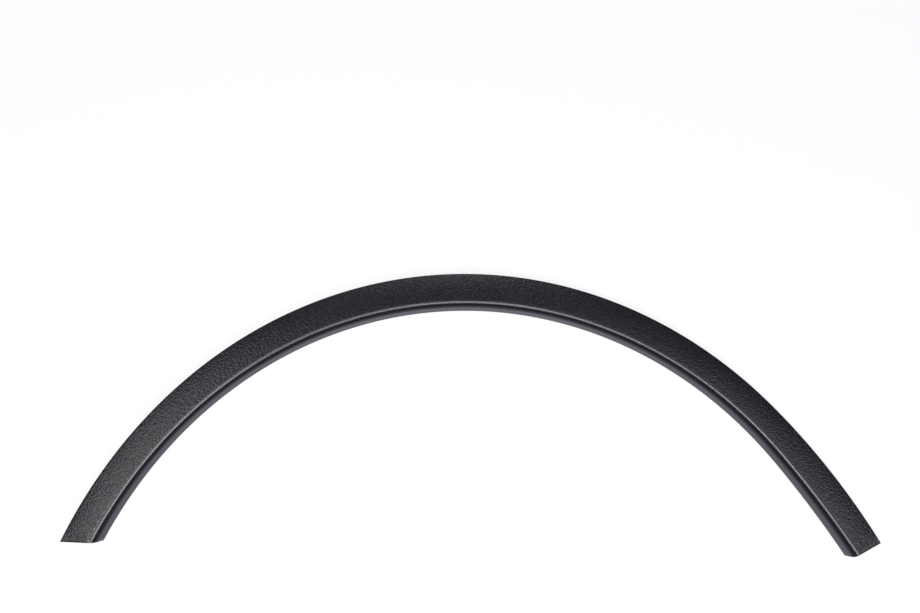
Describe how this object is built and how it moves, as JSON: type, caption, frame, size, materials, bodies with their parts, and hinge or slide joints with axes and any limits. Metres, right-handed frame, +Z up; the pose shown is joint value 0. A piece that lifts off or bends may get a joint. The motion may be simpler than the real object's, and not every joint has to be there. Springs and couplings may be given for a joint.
{
  "type": "wheel arch trim",
  "caption": "Arched plastic trim for one side of a car's wheel opening, with a return flange along its inner edge and a level, grained face.",
  "frame": {"origin": "middle of the trim's box, at the bottom edge of the flange, where it rests", "axes": "+X along the span from end to end, +Y from the open side to the crown of the arch, +Z up, out of the visible face"},
  "size_m": [0.7288, 0.267, 0.018],
  "materials": {
    "grained_plastic": "fine moulded grain, low sheen"
  },
  "bodies": {
    "root": {"arch_trim": "grained_plastic"}
  },
  "joints": []
}
